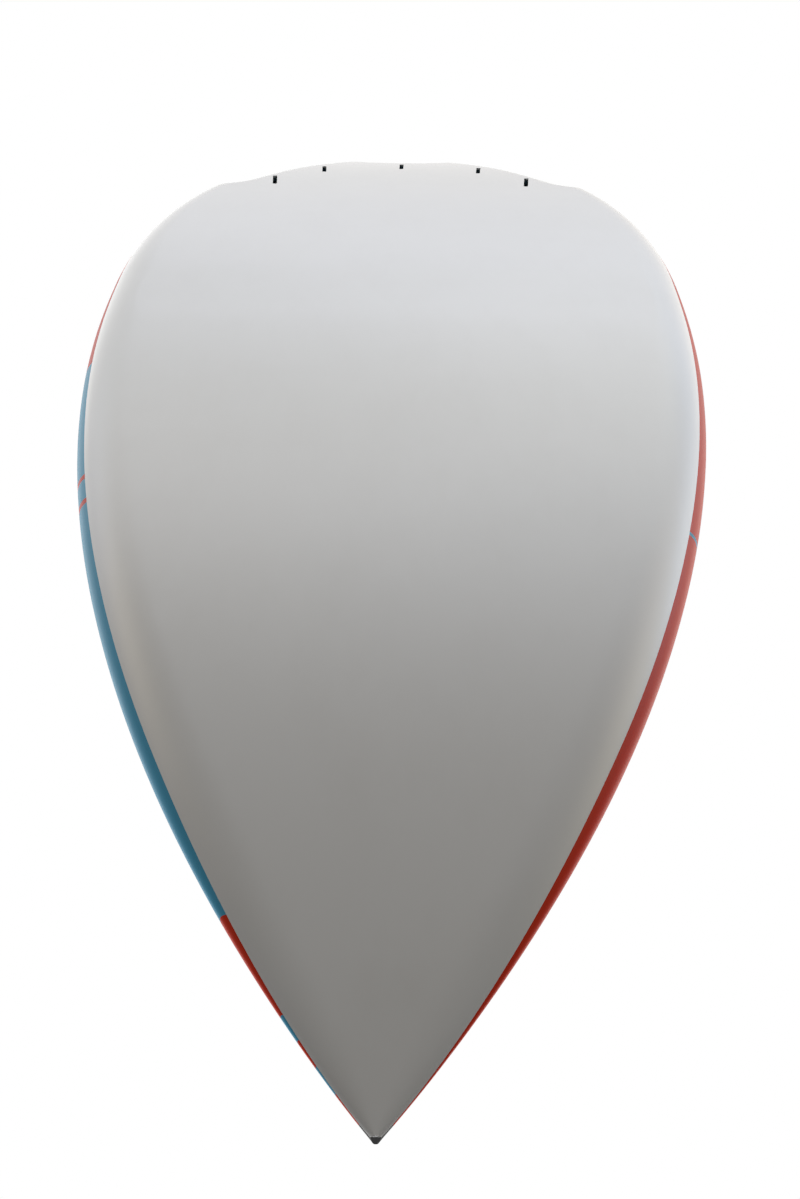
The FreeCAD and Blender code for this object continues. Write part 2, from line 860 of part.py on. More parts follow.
cup_shape, cup_solid = handle_cup()
cup_seat = local_copy(cup_solid, handle_at)
leash_deep = size("leash_bore_depth") + size("leash_floor")
leash_seat = round_seat("leash_cup_diameter", "leash_lip_diameter", leash_deep, leash_at)
vent_seat = round_seat("vent_body_diameter", "vent_lip_diameter", size("vent_body_depth"), vent_at)
fitting_seats = [cup_seat, leash_seat, vent_seat]

bottom_skin = shell.common(below_seam)
upper_skin = shell.cut(below_seam)
nose_region = slab(NOSE - size("nose_guard_length"), NOSE + BIG, -BIG, BIG)
hull_cut("bottom_skin", bottom_skin, slots)
hull_cut("deck_skin", upper_skin.cut(nose_region), fitting_seats)
feature("nose_guard", upper_skin.common(nose_region))

# ---------------------------------------------------------------- build: inside the skins

standing = plan_prism(
    size("sandwich_front"), size("sandwich_rear"), size("sandwich_margin"), 0
)
deck_layer = inner.cut(under_sandwich).cut(below_middle)
sandwich = deck_layer.common(standing.fuse(mirrored(standing)))
hull_cut("deck_sandwich", sandwich, [cup_seat])

handle_block = local_copy(
    centred_box(
        size("handle_length") + 2 * size("handle_block_margin"),
        size("handle_width") + 2 * size("handle_block_margin"),
        -size("handle_depth") - size("handle_block_margin"),
        size("board_thickness"),
    ),
    handle_at,
).common(inner)
leash_block = local_copy(
    Part.makeCylinder(
        size("leash_cup_diameter") / 2 + size("block_margin"),
        leash_deep + size("board_thickness"),
        Vector(0, 0, -leash_deep - size("block_cover") / 2),
    ),
    leash_at,
).common(inner)
for number, (name, place) in enumerate(fins):
    hull_cut(f"fin_block_{name}", fin_blocks[number], [box_seats[number]])
hull_cut("handle_block", handle_block, [sandwich, cup_seat])
hull_cut("leash_block", leash_block, [leash_seat] + fin_blocks)

taken = fin_blocks + [sandwich, handle_block, leash_block, vent_seat]
half_stringer = size("stringer_wall") / 2
middle = slab(-BIG, BIG, -half_stringer, half_stringer)
hull_cut("stringer", inner.common(middle), taken)
hull_cut("foam_core_port", inner.common(slab(-BIG, BIG, half_stringer, BIG)), taken)
hull_cut("foam_core_starboard", inner.common(slab(-BIG, BIG, -BIG, -half_stringer)), taken)

# ---------------------------------------------------------------- build: fittings

for name, place in fins:
    fin_box(name, place)
    grub_screw(name, place)

bar = handle_bar_shape()
bar.Placement = handle_at
keep(bar, "handle_bar")
feature("handle_cup", local_copy(cup_shape, handle_at))
leash_plug(leash_at)
air_vent(vent_at)

# ---------------------------------------------------------------- build: grip pads

pad_layer = hull(-size("pad_wall"), 0).cut(outer).cut(below_middle)
arch_layer = hull(-size("pad_wall") - size("arch_rise"), 0).cut(outer).cut(below_middle)
half_gap = size("pad_gap") / 2
handle_room = local_copy(
    centred_box(
        size("handle_length") + 2 * size("handle_lip") + 2 * size("pad_handle_gap"),
        size("handle_width") + 2 * size("handle_lip") + 2 * size("pad_handle_gap"),
        -size("board_thickness"),
        size("board_thickness"),
    ),
    handle_at,
)


def grip_pad(label, front, rear, margin, inner_edge, side=1):
    """One sheet of grip foam on the deck, between two stations and a margin off the rail."""
    prism = plan_prism(front - half_gap, rear + half_gap, margin, inner_edge)
    if side < 0:
        prism = mirrored(prism)
    if side == 0:
        prism = prism.fuse(mirrored(prism))
    return hull_cut(label, pad_layer.common(prism), [handle_room])


grip_pad("grip_pad_front", size("pad_front_end"), size("pad_front_joint"), size("pad_margin"), 0, 0)
stretches = [
    ("middle", "pad_front_joint", "pad_middle_joint", "pad_margin", half_gap),
    ("rear", "pad_middle_joint", "pad_rear_joint", "pad_margin", half_gap),
    ("tail", "pad_rear_joint", "pad_tail_end", "pad_tail_margin", None),
]
for name, front, rear, margin, inner_edge in stretches:
    if inner_edge is None:
        inner_edge = size("arch_half_width") + size("pad_gap")
    for side, word in ((1, "port"), (-1, "starboard")):
        grip_pad(
            f"grip_pad_{name}_{word}", size(front), size(rear), size(margin), inner_edge, side
        )
arch_room = slab(
    size("pad_tail_end") + half_gap, size("pad_rear_joint") - half_gap,
    -size("arch_half_width"), size("arch_half_width"),
)
feature("arch_bar", arch_layer.common(arch_room))
feature("tail_kick", kick_wedge().cut(outer).cut(below_middle))

# ---------------------------------------------------------------- check and export

doc.recompute()
for item in doc.Objects:
    if "Invalid" in item.State or "Error" in item.State:
        raise RuntimeError(f"{item.Label} failed: {item.State}")
for item in pieces:
    if item.Shape.isNull() or not item.Shape.isValid() or not item.Shape.Solids:
        raise RuntimeError(f"{item.Label} has no valid solid")
os.makedirs("parts", exist_ok=True)
for item in pieces:
    item.Shape.exportStep(f"parts/{item.Label}.step")
    print(item.Label, len(item.Shape.Solids), round(item.Shape.Volume))
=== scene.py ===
"""Looks of a hard stand up paddleboard.

Smooth hull shells with colour-blocked paint, grip foam cut into tiles, and moulded fittings.
"""

import functools
import json
import math

import bmesh
import bpy
import numpy as np
from mathutils import Matrix, Vector


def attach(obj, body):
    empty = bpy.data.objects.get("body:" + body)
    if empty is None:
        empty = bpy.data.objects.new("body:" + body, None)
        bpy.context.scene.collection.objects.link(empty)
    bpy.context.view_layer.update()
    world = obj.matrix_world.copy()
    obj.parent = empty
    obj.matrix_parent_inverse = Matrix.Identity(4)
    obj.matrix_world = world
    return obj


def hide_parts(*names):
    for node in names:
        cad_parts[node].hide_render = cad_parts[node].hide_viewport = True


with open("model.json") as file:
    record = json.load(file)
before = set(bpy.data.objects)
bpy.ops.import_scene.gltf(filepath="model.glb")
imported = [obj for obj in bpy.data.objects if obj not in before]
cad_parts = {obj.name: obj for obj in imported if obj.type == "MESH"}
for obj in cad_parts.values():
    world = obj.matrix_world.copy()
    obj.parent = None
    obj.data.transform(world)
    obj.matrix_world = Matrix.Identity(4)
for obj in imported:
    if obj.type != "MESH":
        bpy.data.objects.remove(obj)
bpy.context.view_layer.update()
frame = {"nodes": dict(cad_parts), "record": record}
nodes = frame["nodes"]
mounts = {mount["name"]: mount for mount in frame["record"]["mounts"]}

# ---------------------------------------------------------------- sizes, in metres

NOSE, TAIL = 1.2855, -1.2855
WIDE_POINT, THICK_POINT, LOW_POINT = -0.183, 0.0355, -0.0845
WING = TAIL + 0.460
HALF_WIDTH = 0.3685
WING_HALF_WIDTH = 0.3015
WING_STEP, WING_FADE = 0.0287, 0.027
TAIL_HALF_WIDTH, TAIL_ROUNDING = 0.097, 0.037
NOTCH_DEPTH, NOTCH_HALF_WIDTH = 0.045, 0.084
NOTCH_RADIUS = (NOTCH_HALF_WIDTH**2 + NOTCH_DEPTH**2) / (2 * NOTCH_DEPTH)
NOSE_BLUNT = 0.0035
NOSE_ROCKER, TAIL_ROCKER, REST_DROP = 0.281, 0.1148, 0.001
THICKNESS, NOSE_THICKNESS, TAIL_THICKNESS = 0.108, 0.008, 0.026
APEX_SHARE, SEAM_SHARE = 0.36, 0.17
SEAM_RISE, SEAM_NOSE_SHARE = 0.9, 0.33
SKIN_WALL = 0.003
GUARD_LENGTH = 0.012
SLOT_LENGTH, SLOT_WIDTH, SLOT_DEPTH = 0.1095, 0.0066, 0.018
BORE_RADIUS, BORE_OVERHANG = 0.00325, 0.0015
HANDLE_X, HANDLE_LENGTH, HANDLE_WIDTH, HANDLE_CORNER = -0.060, 0.156, 0.096, 0.018
LEASH_X, LEASH_Y, LEASH_RADIUS = TAIL + 0.078, 0.050, 0.0135
VENT_X, VENT_RADIUS = 0.560, 0.0105
PAD_WALL, GROOVE_DEPTH, PAD_GAP = 0.005, 0.0021, 0.006


# ---------------------------------------------------------------- hull form

def half_width(x):
    """Half the board's width at a station."""
    if x >= WIDE_POINT:
        t = min(1.0, (x - WIDE_POINT) / (NOSE + NOSE_BLUNT - WIDE_POINT))
        return HALF_WIDTH * (1 - t**2.46) ** (0.761 + 0.147 * t**2.87)
    if x >= WING:
        t = (WIDE_POINT - x) / (WIDE_POINT - WING)
        return HALF_WIDTH - (HALF_WIDTH - WING_HALF_WIDTH) * t**1.95
    back = WING - x
    t = back / (WING - TAIL)
    inner = WING_HALF_WIDTH - WING_STEP
    rounding = TAIL_ROUNDING * t**4.6
    taper = (inner - TAIL_HALF_WIDTH - TAIL_ROUNDING) * t
    return inner - taper - rounding + WING_STEP * math.exp(-back / WING_FADE)


def bottom_height(x):
    """Height of the rocker line on the centreline."""
    if x >= LOW_POINT:
        return NOSE_ROCKER * ((x - LOW_POINT) / (NOSE - LOW_POINT)) ** 2.264 - REST_DROP
    return TAIL_ROCKER * ((LOW_POINT - x) / (LOW_POINT - TAIL)) ** 1.958 - REST_DROP


def thickness(x):
    """Height from the rocker line to the deck on the centreline."""
    if x >= THICK_POINT:
        end, share = NOSE_THICKNESS, ((x - THICK_POINT) / (NOSE - THICK_POINT)) ** 2.3
    else:
        end, share = TAIL_THICKNESS, ((THICK_POINT - x) / (THICK_POINT - TAIL)) ** 2.4
    return end + (THICKNESS - end) * (1 - share)


def deck_height(x):
    return bottom_height(x) + thickness(x)


def bezier(poles, t):
    a, b, c, d = poles
    s = 1 - t
    return a * s**3 + b * (3 * s * s * t) + c * (3 * s * t * t) + d * t**3


def section(x):
    """Poles of the lower rail, the upper rail and the deck, each a (y, z) pair, on the port side."""
    side, low, high = half_width(x), bottom_height(x), deck_height(x)
    aft = max(0.0, (WIDE_POINT - x) / (WIDE_POINT - TAIL))
    roll = (0.058 - 0.032 * aft**0.7) * (1 - math.exp(-side / 0.070))
    shoulder = side - 0.095 * (1 - math.exp(-side / 0.110))
    apex = low + APEX_SHARE * (high - low)
    crown = 0.010 * (side / HALF_WIDTH) ** 2
    edge, rise = high - crown, crown / 0.75
    tilt = rise / (0.6 * max(shoulder, 1e-4))
    reach = 0.56 * (side - shoulder)
    lower = [
        Vector((side - roll, low)),
        Vector((side - 0.44 * roll, low)),
        Vector((side, apex - 0.56 * (apex - low))),
        Vector((side, apex)),
    ]
    upper = [
        lower[3],
        Vector((side, apex + 0.56 * (edge - apex))),
        Vector((shoulder + reach, edge - tilt * reach)),
        Vector((shoulder, edge)),
    ]
    deck = [
        upper[3],
        Vector((0.4 * shoulder, edge + rise)),
        Vector((-0.4 * shoulder, edge + rise)),
        Vector((-shoulder, edge)),
    ]
    return lower, upper, deck


@functools.lru_cache(maxsize=None)
def seam(x):
    """The paint seam at a station: its share of the height, and its place on the lower rail's curve."""
    rise = max(0.0, (x - SEAM_RISE) / (NOSE - SEAM_RISE))
    share = SEAM_SHARE + (SEAM_NOSE_SHARE - SEAM_SHARE) * rise**2
    low, high = 0.0, 1.0
    for step in range(30):
        t = (low + high) / 2
        if bezier((0.0, 0.0, 0.44, 1.0), t) < share / APEX_SHARE:
            low = t
        else:
            high = t
    return share, low


RAIL_SHARE, SHOULDER_SHARE, FLAT_SHARE = 0.13, 0.5, 0.5


def deck_point(x, across):
    """A point of the painted shell; across runs from -1 at the starboard seam to 1 at the port seam."""
    lower, upper, deck = section(x)
    reach = 1 - abs(across)
    if reach < RAIL_SHARE:
        start = seam(x)[1]
        y, z = bezier(lower, start + (1 - start) * reach / RAIL_SHARE)
    elif reach < SHOULDER_SHARE:
        y, z = bezier(upper, (reach - RAIL_SHARE) / (SHOULDER_SHARE - RAIL_SHARE))
    else:
        y, z = bezier(deck, 0.5 * (reach - SHOULDER_SHARE) / (1 - SHOULDER_SHARE))
    return Vector((x, math.copysign(y, across), z))


def bottom_point(x, across):
    """A point of the white shell; across runs from -1 at the starboard seam to 1 at the port seam."""
    lower = section(x)[0]
    reach = abs(across)
    if reach < FLAT_SHARE:
        y, z = lower[0][0] * (reach / FLAT_SHARE), lower[0][1]
    else:
        y, z = bezier(lower, seam(x)[1] * (reach - FLAT_SHARE) / (1 - FLAT_SHARE))
    return Vector((x, math.copysign(y, across), max(z, 0.0)))


def seam_point(x, y):
    """The point on the level of the seam straight above or below, pulled in to the seam's own outline."""
    share, place = seam(x)
    limit = bezier(section(x)[0], place)[0]
    y = max(-limit, min(limit, y))
    return Vector((tail_end(y) if x < WING else x, y, bottom_height(x) + share * thickness(x)))


def tail_end(y):
    """Station of the swallow tail's edge at a distance from the centreline."""
    if abs(y) >= NOTCH_HALF_WIDTH:
        return TAIL
    return TAIL + NOTCH_DEPTH - NOTCH_RADIUS + math.sqrt(NOTCH_RADIUS**2 - y * y)


# ---------------------------------------------------------------- mesh helpers

def piece(name, mesh, slot, *replaced, body="hull"):
    """A finished piece: it rides on its body and stands for the frame's own solids."""
    made = bpy.data.objects.new(name, mesh)
    bpy.context.scene.collection.objects.link(made)
    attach(made, body)
    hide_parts(*replaced)
    return made


def to_mesh(bm, name, smooth=True, angle=32):
    """Closes a bmesh into a mesh with its crisp edges marked."""
    mesh = bpy.data.meshes.new(name)
    for face in bm.faces:
        face.smooth = smooth
    bm.to_mesh(mesh)
    bm.free()
    if smooth:
        mesh.set_sharp_from_angle(angle=math.radians(angle))
    return mesh


def outward(bm):
    bmesh.ops.remove_doubles(bm, verts=bm.verts, dist=1e-6)
    bmesh.ops.dissolve_degenerate(bm, edges=bm.edges, dist=1e-6)
    bmesh.ops.recalc_face_normals(bm, faces=bm.faces)


def skin(point, stations, tail_rows, columns, nose_wall, facing):
    """A sheet over the hull's form, from the tail's edge to the foremost station, with its end walls."""
    rows = tail_rows + len(stations) - 1
    bm = bmesh.new()
    bmesh.ops.create_grid(bm, x_segments=rows, y_segments=columns, size=1)
    aft_edge, fore_edge = [], []
    for vert in bm.verts:
        row = round((vert.co.x + 1) / 2 * rows)
        across = vert.co.y
        if row >= tail_rows:
            vert.co = point(stations[row - tail_rows], across)
        else:
            share = 1 - (row / tail_rows)
            x = stations[0] + (TAIL - stations[0]) * share
            for turn in range(8):
                x = stations[0] + (tail_end(point(x, across).y) - stations[0]) * share
            vert.co = point(x, across)
        if row == 0:
            aft_edge.append(vert)
        if row == rows:
            fore_edge.append(vert)
    for wanted, edge in ((True, aft_edge), (nose_wall, fore_edge)):
        if wanted:
            ends = set(edge)
            line = [e for e in bm.edges if e.verts[0] in ends and e.verts[1] in ends]
            made = bmesh.ops.extrude_edge_only(bm, edges=line)["geom"]
            for vert in made:
                if isinstance(vert, bmesh.types.BMVert):
                    vert.co = seam_point(vert.co.x, vert.co.y)
    outward(bm)
    broadest = max(bm.faces, key=lambda face: face.calc_area() * abs(face.normal.z))
    if broadest.normal.z * facing < 0:
        bmesh.ops.reverse_faces(bm, faces=bm.faces)
    return bm


def with_modifiers(mesh, name, steps):
    """The mesh after each modifier in turn; steps give the modifier's type and its settings."""
    work = bpy.data.objects.new(name, mesh)
    bpy.context.scene.collection.objects.link(work)
    for number, (kind, settings) in enumerate(steps):
        modifier = work.modifiers.new(f"step{number}", kind)
        for key, value in settings.items():
            setattr(modifier, key, value)
    bpy.context.view_layer.update()
    depsgraph = bpy.context.evaluated_depsgraph_get()
    done = bpy.data.meshes.new_from_object(work.evaluated_get(depsgraph))
    bpy.data.objects.remove(work)
    return done


def cutter(shapes):
    """One object to cut with, made of closed shapes that may cross."""
    bm = bmesh.new()
    for shape in shapes:
        shape(bm)
    tool = bpy.data.objects.new("cutter", to_mesh(bm, "cutter"))
    bpy.context.scene.collection.objects.link(tool)
    return tool


def block_shape(matrix, length, width, height, corner=0.0):
    """A box whose upright edges are rounded."""
    def build(bm):
        made = bmesh.ops.create_cube(bm, size=1)["verts"]
        bmesh.ops.scale(bm, vec=(length, width, height), verts=made)
        if corner:
            mine = set(made)
            upright = [
                e for e in bm.edges
                if e.verts[0] in mine and e.verts[1] in mine
                and abs(e.verts[0].co.z - e.verts[1].co.z) > height / 2
            ]
            done = bmesh.ops.bevel(
                bm, geom=upright, affect="EDGES", offset=corner, segments=6, profile=0.5, material=-1
            )
            made = list({v for v in made if v.is_valid} | set(done["verts"]))
        bmesh.ops.transform(bm, matrix=matrix, verts=made)
    return build


def rod_shape(matrix, radius, height, segments=40):
    def build(bm):
        bmesh.ops.create_cone(
            bm, cap_ends=True, segments=segments, radius1=radius, radius2=radius, depth=height, matrix=matrix
        )
    return build


def cut(mesh, name, shapes):
    """The mesh with closed shapes cut out of it, one tool after another."""
    tools = [cutter([shape]) for shape in shapes]
    setup = {"operation": "DIFFERENCE", "solver": "EXACT"}
    steps = [("BOOLEAN", {**setup, "object": tool}) for tool in tools]
    done = with_modifiers(mesh, name, steps)
    for tool in tools:
        bpy.data.objects.remove(tool)
    return done


# ---------------------------------------------------------------- places on the board

class DeckForm:
    """Height of the deck over any point, read from a table of sections."""

    def __init__(self):
        self.step_x, self.step_y = 0.005, 0.004
        self.stations = np.arange(TAIL, NOSE - 0.002, self.step_x)
        self.offsets = np.arange(0, 0.376, self.step_y)
        shoulder, rail = 1 - SHOULDER_SHARE, 1 - RAIL_SHARE
        across = np.concatenate([np.linspace(0, shoulder, 14), np.linspace(shoulder, rail, 40)])
        rows = []
        for x in self.stations:
            points = [deck_point(float(x), float(a)) for a in across]
            y = np.array([abs(p.y) for p in points])
            rows.append(np.interp(self.offsets, y, [p.z for p in points]))
        self.table = np.array(rows)

    def __call__(self, x, y):
        u = min(max((x - TAIL) / self.step_x, 0), len(self.stations) - 1.001)
        v = min(abs(y) / self.step_y, len(self.offsets) - 1.001)
        i, j = int(u), int(v)
        u, v = u - i, v - j
        t = self.table
        near = t[i, j] * (1 - v) + t[i, j + 1] * v
        far = t[i + 1, j] * (1 - v) + t[i + 1, j + 1] * v
        return float(near * (1 - u) + far * u)


deck_form = DeckForm()


def deck_place(x, y):
    """A frame on the deck with Z out of it."""
    slope = (deck_height(x + 0.0005) - deck_height(x - 0.0005)) / 0.001
    return Matrix.Translation((x, y, deck_form(x, y))) @ Matrix.Rotation(-math.atan(slope), 4, "Y")


def slot_place(name, toe):
    """A frame on the bottom at a fin slot: X along the slot, Z into the board."""
    mount = mounts[name]
    inward = -Vector(mount["axis"]).normalized()
    along = Vector((math.cos(toe), math.sin(toe), 0))
    along = (along - inward * along.dot(inward)).normalized()
    turned = Matrix((along, inward.cross(along), inward)).transposed().to_4x4()
    return Matrix.Translation(mount["pos_m"]) @ turned


# ---------------------------------------------------------------- finishes

class Finish:
    """A node material on one Principled shader."""

    def __init__(self, name, color, roughness, **sockets):
        self.material = bpy.data.materials.new(name)
        self.material.use_nodes = True
        self.tree = self.material.node_tree
        self.shader = self.tree.nodes["Principled BSDF"]
        self.shader.inputs["Base Color"].default_value = (*color, 1)
        self.shader.inputs["Roughness"].default_value = roughness
        for socket, value in sockets.items():
            self.shader.inputs[socket.replace("_", " ")].default_value = value
        self.where = self.node("ShaderNodeTexCoord").outputs["Object"]

    def node(self, kind, links=None, **settings):
        made = self.tree.nodes.new(kind)
        for key, value in settings.items():
            setattr(made, key, value)
        for socket, source in (links or {}).items():
            target = made.inputs[socket]
            if isinstance(source, bpy.types.NodeSocket):
                self.tree.links.new(source, target)
            else:
                target.default_value = source
        return made

    def math(self, operation, *values):
        made = self.node("ShaderNodeMath", dict(enumerate(values)), operation=operation)
        return made.outputs[0]

    def noise(self, scale, detail=3.0, roughness=0.5, stretch=None):
        where = self.where
        if stretch:
            where = self.node("ShaderNodeMapping", {"Vector": where, "Scale": stretch}).outputs[0]
        return self.node(
            "ShaderNodeTexNoise", {"Vector": where, "Scale": scale, "Detail": detail, "Roughness": roughness}
        ).outputs["Fac"]

    def cells(self, scale, output="Distance", **settings):
        return self.node(
            "ShaderNodeTexVoronoi", {"Vector": self.where, "Scale": scale}, **settings
        ).outputs[output]

    def ramp(self, factor, stops, interpolation="LINEAR"):
        made = self.node("ShaderNodeValToRGB", {"Fac": factor})
        made.color_ramp.interpolation = interpolation
        while len(made.color_ramp.elements) < len(stops):
            made.color_ramp.elements.new(1.0)
        for element, (place, color) in zip(made.color_ramp.elements, stops):
            element.position = place
            element.color = (*color, 1)
        return made.outputs["Color"]

    def mix(self, factor, low, high, blend="MIX"):
        made = self.node(
            "ShaderNodeMix", {0: factor}, data_type="RGBA", blend_type=blend
        )
        for socket, source in ((made.inputs[6], low), (made.inputs[7], high)):
            if isinstance(source, bpy.types.NodeSocket):
                self.tree.links.new(source, socket)
            else:
                socket.default_value = (*source, 1)
        return made.outputs[2]

    def span(self, factor, low, high, new_low, new_high):
        return self.node(
            "ShaderNodeMapRange", {"Value": factor, 1: low, 2: high, 3: new_low, 4: new_high}
        ).outputs[0]

    def set(self, socket, source):
        self.tree.links.new(source, self.shader.inputs[socket])

    def bump(self, height, strength, distance):
        made = self.node("ShaderNodeBump", {"Height": height, "Strength": strength, "Distance": distance})
        self.set("Normal", made.outputs["Normal"])


NOSE_RIM_HEIGHT = 0.2812


def white_gelcoat():
    """Glossy white with a faint haze and fine scuffs, and a dark rim round the end wall at the nose."""
    f = Finish(
        "white_gelcoat", (0.8, 0.8, 0.79), 0.3, Specular_IOR_Level=0.0, Coat_Weight=1.0, Coat_Roughness=0.06
    )
    haze = f.noise(1.6, 4.0, 0.55)
    tone = f.ramp(haze, [(0.35, (0.79, 0.79, 0.78)), (0.65, (0.83, 0.83, 0.825))])
    scuffs = f.noise(5.0, 5.0, 0.6, (1.0, 3.0, 3.0))
    marks = f.ramp(scuffs, [(0.45, (1, 1, 1)), (0.75, (0.975, 0.972, 0.968))])
    split = f.node("ShaderNodeSeparateXYZ", {0: f.where})
    forward_and_up = f.math("ADD", split.outputs[2], split.outputs[0])
    rim = f.math("GREATER_THAN", forward_and_up, NOSE + NOSE_RIM_HEIGHT)
    f.set("Base Color", f.mix(rim, f.mix(1.0, tone, marks, "MULTIPLY"), BLACK))
    f.set("Roughness", f.span(scuffs, 0.4, 0.8, 0.28, 0.36))
    f.bump(f.noise(24.0, 2.0), 0.04, 0.0003)
    return f.material


BLACK = (0.012, 0.012, 0.013)
BLUE, RED = (0.085, 0.38, 0.58), (0.70, 0.044, 0.016)
LINE = (0.80, 0.80, 0.78)
CHEVRON = 0.35
PAINT_SPAN = 1.5
SPLIT = 0.0768
DASHES = ((0.447, 0.457), (0.497, 0.507))


def along_paint(x):
    """How far a rail station lies along the chevrons that the paint follows, as a share."""
    return (x + CHEVRON * half_width(x)) / PAINT_SPAN


def deck_paint():
    """Blue and red fields parted by a thin line, with the rails' own bands and marks."""
    f = Finish("deck_paint", RED, 0.3, Specular_IOR_Level=0.0, Coat_Weight=0.3, Coat_Roughness=0.07)
    split = f.node("ShaderNodeSeparateXYZ", {0: f.where})
    x, y = split.outputs[0], split.outputs[1]
    along = f.math("DIVIDE", f.math("MULTIPLY_ADD", f.math("ABSOLUTE", y), CHEVRON, x), PAINT_SPAN)
    port = [
        (0.148, BLUE), (0.3925, LINE), (0.3955, BLUE), (1.078, RED), (1.177, BLUE), (1.197, RED),
        (1.218, BLUE), (1.248, RED),
    ]
    starboard = [(0.549, BLUE), (0.556, RED)]
    sides = [
        f.ramp(along, [(0.0, RED)] + [(along_paint(at), tone) for at, tone in stops], "CONSTANT")
        for stops in (starboard, port)
    ]
    middle = f.math("MULTIPLY_ADD", x, 0.06, y)
    split_line = f.math("GREATER_THAN", middle, SPLIT)
    paint = f.mix(split_line, sides[0], sides[1])
    edge = f.math("COMPARE", middle, SPLIT, 0.0022)
    ahead = f.math("GREATER_THAN", along, along_paint(0.149))
    paint = f.mix(f.math("MULTIPLY", edge, ahead), paint, LINE)
    for start, end in DASHES:
        after = f.math("GREATER_THAN", along, along_paint(start))
        before = f.math("LESS_THAN", along, along_paint(end))
        inside = f.math("MULTIPLY", after, before)
        on_rail = f.math("GREATER_THAN", y, 0.31)
        paint = f.mix(f.math("MULTIPLY", inside, on_rail), paint, RED)
    shade = f.ramp(f.noise(2.2, 4.0), [(0.3, (0.94, 0.94, 0.94)), (0.7, (1.0, 1.0, 1.0))])
    flake = f.ramp(f.noise(900.0, 1.0), [(0.35, (0.96, 0.96, 0.96)), (0.7, (1.0, 1.0, 1.0))])
    f.set("Base Color", f.mix(1.0, f.mix(1.0, paint, shade, "MULTIPLY"), flake, "MULTIPLY"))
    f.set("Roughness", f.span(f.noise(14.0, 5.0, 0.6), 0.3, 0.7, 0.20, 0.31))
    f.bump(f.noise(24.0, 2.0), 0.04, 0.0003)
    return f.material


def moulded(name, color, roughness, grain=0.00012):
    """Moulded plastic or rubber with a fine spark-eroded grain and rubbed high spots."""
    f = Finish(name, color, roughness)
    worn = tuple(min(1.0, c * 1.5 + 0.01) for c in color)
    f.set("Base Color", f.ramp(f.noise(22.0, 5.0, 0.6), [(0.35, color), (0.75, worn)]))
    f.set("Roughness", f.span(f.noise(60.0, 3.0), 0.3, 0.7, roughness - 0.07, roughness + 0.1))
    f.bump(f.cells(1400.0), 0.35, grain)
    return f.material


def eva_foam(name, color):
    """Closed-cell foam: tiny pores, a faint marl and dust that lightens the faces."""
    f = Finish(name, color, 0.86, Sheen_Weight=0.25, Sheen_Roughness=0.5)
    light = tuple(c * 1.55 + 0.012 for c in color)
    marl = f.ramp(f.noise(420.0, 2.0, 0.6), [(0.38, color), (0.7, light)])
    dust = f.ramp(f.noise(7.0, 5.0, 0.65), [(0.35, (0.86, 0.86, 0.86)), (0.75, (1.0, 1.0, 1.0))])
    f.set("Base Color", f.mix(1.0, marl, dust, "MULTIPLY"))
    f.set("Roughness", f.span(f.noise(30.0, 3.0), 0.3, 0.7, 0.78, 0.94))
    f.bump(f.cells(2200.0), 0.5, 0.0002)
    return f.material


def metal(name, color, roughness, brushed):
    f = Finish(name, color, roughness, Metallic=1.0)
    dull = tuple(c * 0.72 for c in color)
    f.set("Base Color", f.ramp(f.noise(160.0, 4.0, 0.6), [(0.35, dull), (0.6, color)]))
    lines = f.noise(700.0, 2.0, 0.5, brushed)
    f.set("Roughness", f.span(lines, 0.3, 0.7, roughness - 0.08, roughness + 0.12))
    f.bump(lines, 0.25, 0.00008)
    return f.material


def bead_foam(name, color, scale, seam):
    """Expanded foam: beads pressed together, darker in their joints."""
    f = Finish(name, color, 0.8, Subsurface_Weight=0.0)
    joints = f.cells(scale, feature="DISTANCE_TO_EDGE")
    dark = tuple(c * seam for c in color)
    f.set("Base Color", f.ramp(joints, [(0.0, dark), (0.12, color)]))
    f.bump(joints, 0.4, 0.0006)
    return f.material


def stringer_wood():
    f = Finish("stringer_wood", (0.46, 0.30, 0.16), 0.6)
    grain = f.noise(26.0, 6.0, 0.6, (0.08, 1.0, 1.6))
    tones = [(0.3, (0.34, 0.20, 0.10)), (0.5, (0.50, 0.33, 0.18)), (0.72, (0.62, 0.45, 0.27))]
    f.set("Base Color", f.ramp(grain, tones))
    f.set("Roughness", f.span(grain, 0.3, 0.7, 0.5, 0.7))
    f.bump(grain, 0.3, 0.0003)
    return f.material


def membrane_fabric():
    f = Finish("membrane_fabric", (0.7, 0.72, 0.75), 0.8)
    threads = [
        f.node("ShaderNodeTexWave", {"Vector": f.where, "Scale": 1100.0}, bands_direction=way).outputs["Fac"]
        for way in ("X", "Y")
    ]
    weave = f.math("MULTIPLY", *threads)
    f.set("Base Color", f.ramp(weave, [(0.1, (0.42, 0.44, 0.47)), (0.7, (0.74, 0.76, 0.79))]))
    f.bump(weave, 0.4, 0.0001)
    return f.material


def box_plastic():
    """Clear-tinted plastic of the fin boxes, paler where the laminate lights it."""
    f = Finish("box_plastic", (0.13, 0.23, 0.28), 0.38, Specular_IOR_Level=0.5)
    cloud = f.noise(35.0, 4.0, 0.6)
    f.set("Base Color", f.ramp(cloud, [(0.3, (0.10, 0.19, 0.24)), (0.7, (0.16, 0.27, 0.33))]))
    f.set("Roughness", f.span(cloud, 0.3, 0.7, 0.3, 0.5))
    f.bump(f.noise(300.0, 2.0), 0.2, 0.0002)
    return f.material


